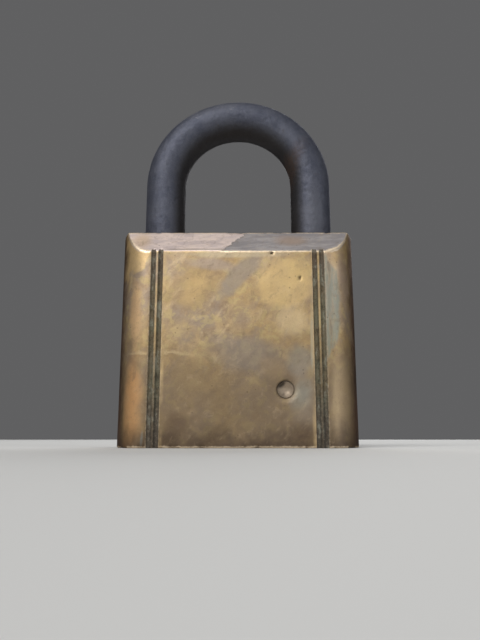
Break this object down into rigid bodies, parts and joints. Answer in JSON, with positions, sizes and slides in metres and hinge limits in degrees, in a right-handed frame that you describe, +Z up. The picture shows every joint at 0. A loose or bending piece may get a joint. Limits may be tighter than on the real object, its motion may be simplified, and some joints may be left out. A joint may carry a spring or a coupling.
{
  "type": "brass padlock",
  "caption": "Old tarnished brass padlock with a dark steel shackle, a pin tumbler key cylinder and double ball locking, shown shut.",
  "frame": {"origin": "middle of the underside, where the lock stands", "axes": "+X towards the toe of the shackle, +Y towards the back face, +Z up through the bow"},
  "size_m": [0.0444, 0.0238, 0.0703],
  "materials": {
    "aged_brass": "tarnished, worn",
    "oxidised_steel": "dark oxidised steel",
    "cylinder_brass": "dull",
    "pin_brass": "satin",
    "driver_nickel": "satin",
    "spring_steel": "satin",
    "ball_steel": "polished",
    "cam_steel": "plated, dull"
  },
  "bodies": {
    "case": {"body": "aged_brass", "cylinder_shell": "cylinder_brass", "shell_retaining_pin": "pin_brass", "heel_retaining_pin": "pin_brass", "cross_bore_plug": "aged_brass", "spring_cover": "pin_brass", "shackle_spring": "spring_steel", "driver_spring_1": "spring_steel", "driver_spring_2": "spring_steel", "driver_spring_3": "spring_steel", "driver_spring_4": "spring_steel", "driver_spring_5": "spring_steel"},
    "shackle": {"shackle": "oxidised_steel"},
    "plug": {"key_plug": "cylinder_brass", "plug_clip": "spring_steel", "cam": "cam_steel"},
    "toe_ball": {"toe_ball": "ball_steel"},
    "heel_ball": {"heel_ball": "ball_steel"},
    "key_pin_1": {"key_pin_1": "pin_brass"},
    "key_pin_2": {"key_pin_2": "pin_brass"},
    "key_pin_3": {"key_pin_3": "pin_brass"},
    "key_pin_4": {"key_pin_4": "pin_brass"},
    "key_pin_5": {"key_pin_5": "pin_brass"},
    "driver_1": {"driver_pin_1": "driver_nickel"},
    "driver_2": {"driver_pin_2": "driver_nickel"},
    "driver_3": {"driver_pin_3": "driver_nickel"},
    "driver_4": {"driver_pin_4": "driver_nickel"},
    "driver_5": {"driver_pin_5": "driver_nickel"}
  },
  "joints": [
    {"name": "plug_turn", "type": "hinge", "parent": "case", "child": "plug", "pos_m": [0, 0, 0], "axis": [0, 0, 1], "range_deg": [0, 90]},
    {"name": "shackle_lift", "type": "slide", "parent": "case", "child": "shackle", "axis": [0, 0, 1], "range_m": [0, 0.0125], "deforming": ["shackle_spring"]},
    {"name": "toe_ball_slide", "type": "slide", "parent": "case", "child": "toe_ball", "axis": [-1, 0, 0], "range_m": [0, 0.0039]},
    {"name": "heel_ball_slide", "type": "slide", "parent": "case", "child": "heel_ball", "axis": [1, 0, 0], "range_m": [0, 0.0039]},
    {"name": "key_pin_slide_1", "type": "slide", "parent": "plug", "child": "key_pin_1", "axis": [0, 1, 0], "range_m": [-0.001, 0]},
    {"name": "key_pin_slide_2", "type": "slide", "parent": "plug", "child": "key_pin_2", "axis": [0, 1, 0], "range_m": [-0.0018, 0]},
    {"name": "key_pin_slide_3", "type": "slide", "parent": "plug", "child": "key_pin_3", "axis": [0, 1, 0], "range_m": [-0.0013, 0]},
    {"name": "key_pin_slide_4", "type": "slide", "parent": "plug", "child": "key_pin_4", "axis": [0, 1, 0], "range_m": [-0.0019, 0]},
    {"name": "key_pin_slide_5", "type": "slide", "parent": "plug", "child": "key_pin_5", "axis": [0, 1, 0], "range_m": [-0.0015, 0]},
    {"name": "driver_slide_1", "type": "slide", "parent": "case", "child": "driver_1", "axis": [0, 1, 0], "range_m": [0, 0.0008], "stiffness_N_per_m": 120, "springref_m": -0.001, "deforming": ["driver_spring_1"]},
    {"name": "driver_slide_2", "type": "slide", "parent": "case", "child": "driver_2", "axis": [0, 1, 0], "range_m": [0, 0.0008], "stiffness_N_per_m": 120, "springref_m": -0.001, "deforming": ["driver_spring_2"]},
    {"name": "driver_slide_3", "type": "slide", "parent": "case", "child": "driver_3", "axis": [0, 1, 0], "range_m": [0, 0.0008], "stiffness_N_per_m": 120, "springref_m": -0.001, "deforming": ["driver_spring_3"]},
    {"name": "driver_slide_4", "type": "slide", "parent": "case", "child": "driver_4", "axis": [0, 1, 0], "range_m": [0, 0.0008], "stiffness_N_per_m": 120, "springref_m": -0.001, "deforming": ["driver_spring_4"]},
    {"name": "driver_slide_5", "type": "slide", "parent": "case", "child": "driver_5", "axis": [0, 1, 0], "range_m": [0, 0.0008], "stiffness_N_per_m": 120, "springref_m": -0.001, "deforming": ["driver_spring_5"]}
  ],
  "couplings": [
    {"joint": "plug_turn", "follows": "shackle_lift", "rad_per_m": 125.66},
    {"joint": "toe_ball_slide", "follows": "shackle_lift", "ratio": 0.312},
    {"joint": "heel_ball_slide", "follows": "shackle_lift", "ratio": 0.312}
  ]
}
